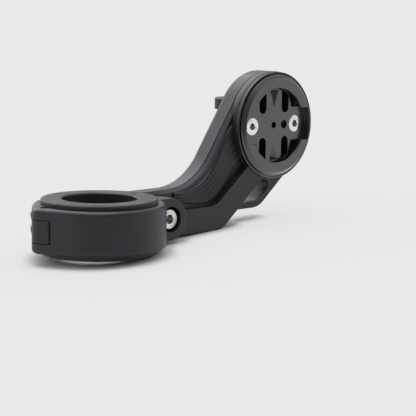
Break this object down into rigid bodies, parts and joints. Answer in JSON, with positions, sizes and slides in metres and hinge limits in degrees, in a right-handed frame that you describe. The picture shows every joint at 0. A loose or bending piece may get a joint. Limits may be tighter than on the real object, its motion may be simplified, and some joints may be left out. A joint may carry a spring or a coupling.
{
  "type": "handlebar camera mount",
  "caption": "Out-front handlebar mount: hinged bar clamp with shim, ribbed S-shaped arm, quarter-turn head socket and camera fingers behind it.",
  "frame": {"origin": "middle of the clamp bore, on its axis", "axes": "+Z along the clamp bore, +X from the clamp towards the head, -Y the way the head's socket faces"},
  "size_m": [0.1283, 0.0487, 0.0579],
  "materials": {
    "body_plastic": "matte, fine moulded grain",
    "shim_plastic": "matte",
    "insert_plastic": "satin to gloss",
    "finger_plastic": "matte",
    "screw_steel": "bright, lightly turned",
    "dark_steel": "dull",
    "brass": "turned"
  },
  "bodies": {
    "arm": {"arm_body": "body_plastic", "hinge_pin": "dark_steel", "thread_insert": "brass", "bar_shim": "shim_plastic", "socket_insert": "insert_plastic", "insert_screw_left": "screw_steel", "insert_screw_right": "screw_steel", "lock_screw": "dark_steel", "camera_adapter": "finger_plastic", "screw_nut_left": "screw_steel", "screw_nut_right": "screw_steel", "camera_nut": "screw_steel"},
    "door": {"clamp_door": "body_plastic"},
    "bolt": {"clamp_bolt": "screw_steel"}
  },
  "joints": [
    {"name": "door_open", "type": "hinge", "parent": "arm", "child": "door", "pos_m": [-0.0213, 0.0029, 0], "axis": [0, 0, -1], "range_deg": [0, 90]},
    {"name": "bolt_back_out", "type": "slide", "parent": "door", "child": "bolt", "axis": [0, -1, 0], "range_m": [0, 0.0075]}
  ],
  "couplings": [
    {"joint": "bolt_back_out", "follows": "door_open", "m_per_rad": 0.0047}
  ]
}
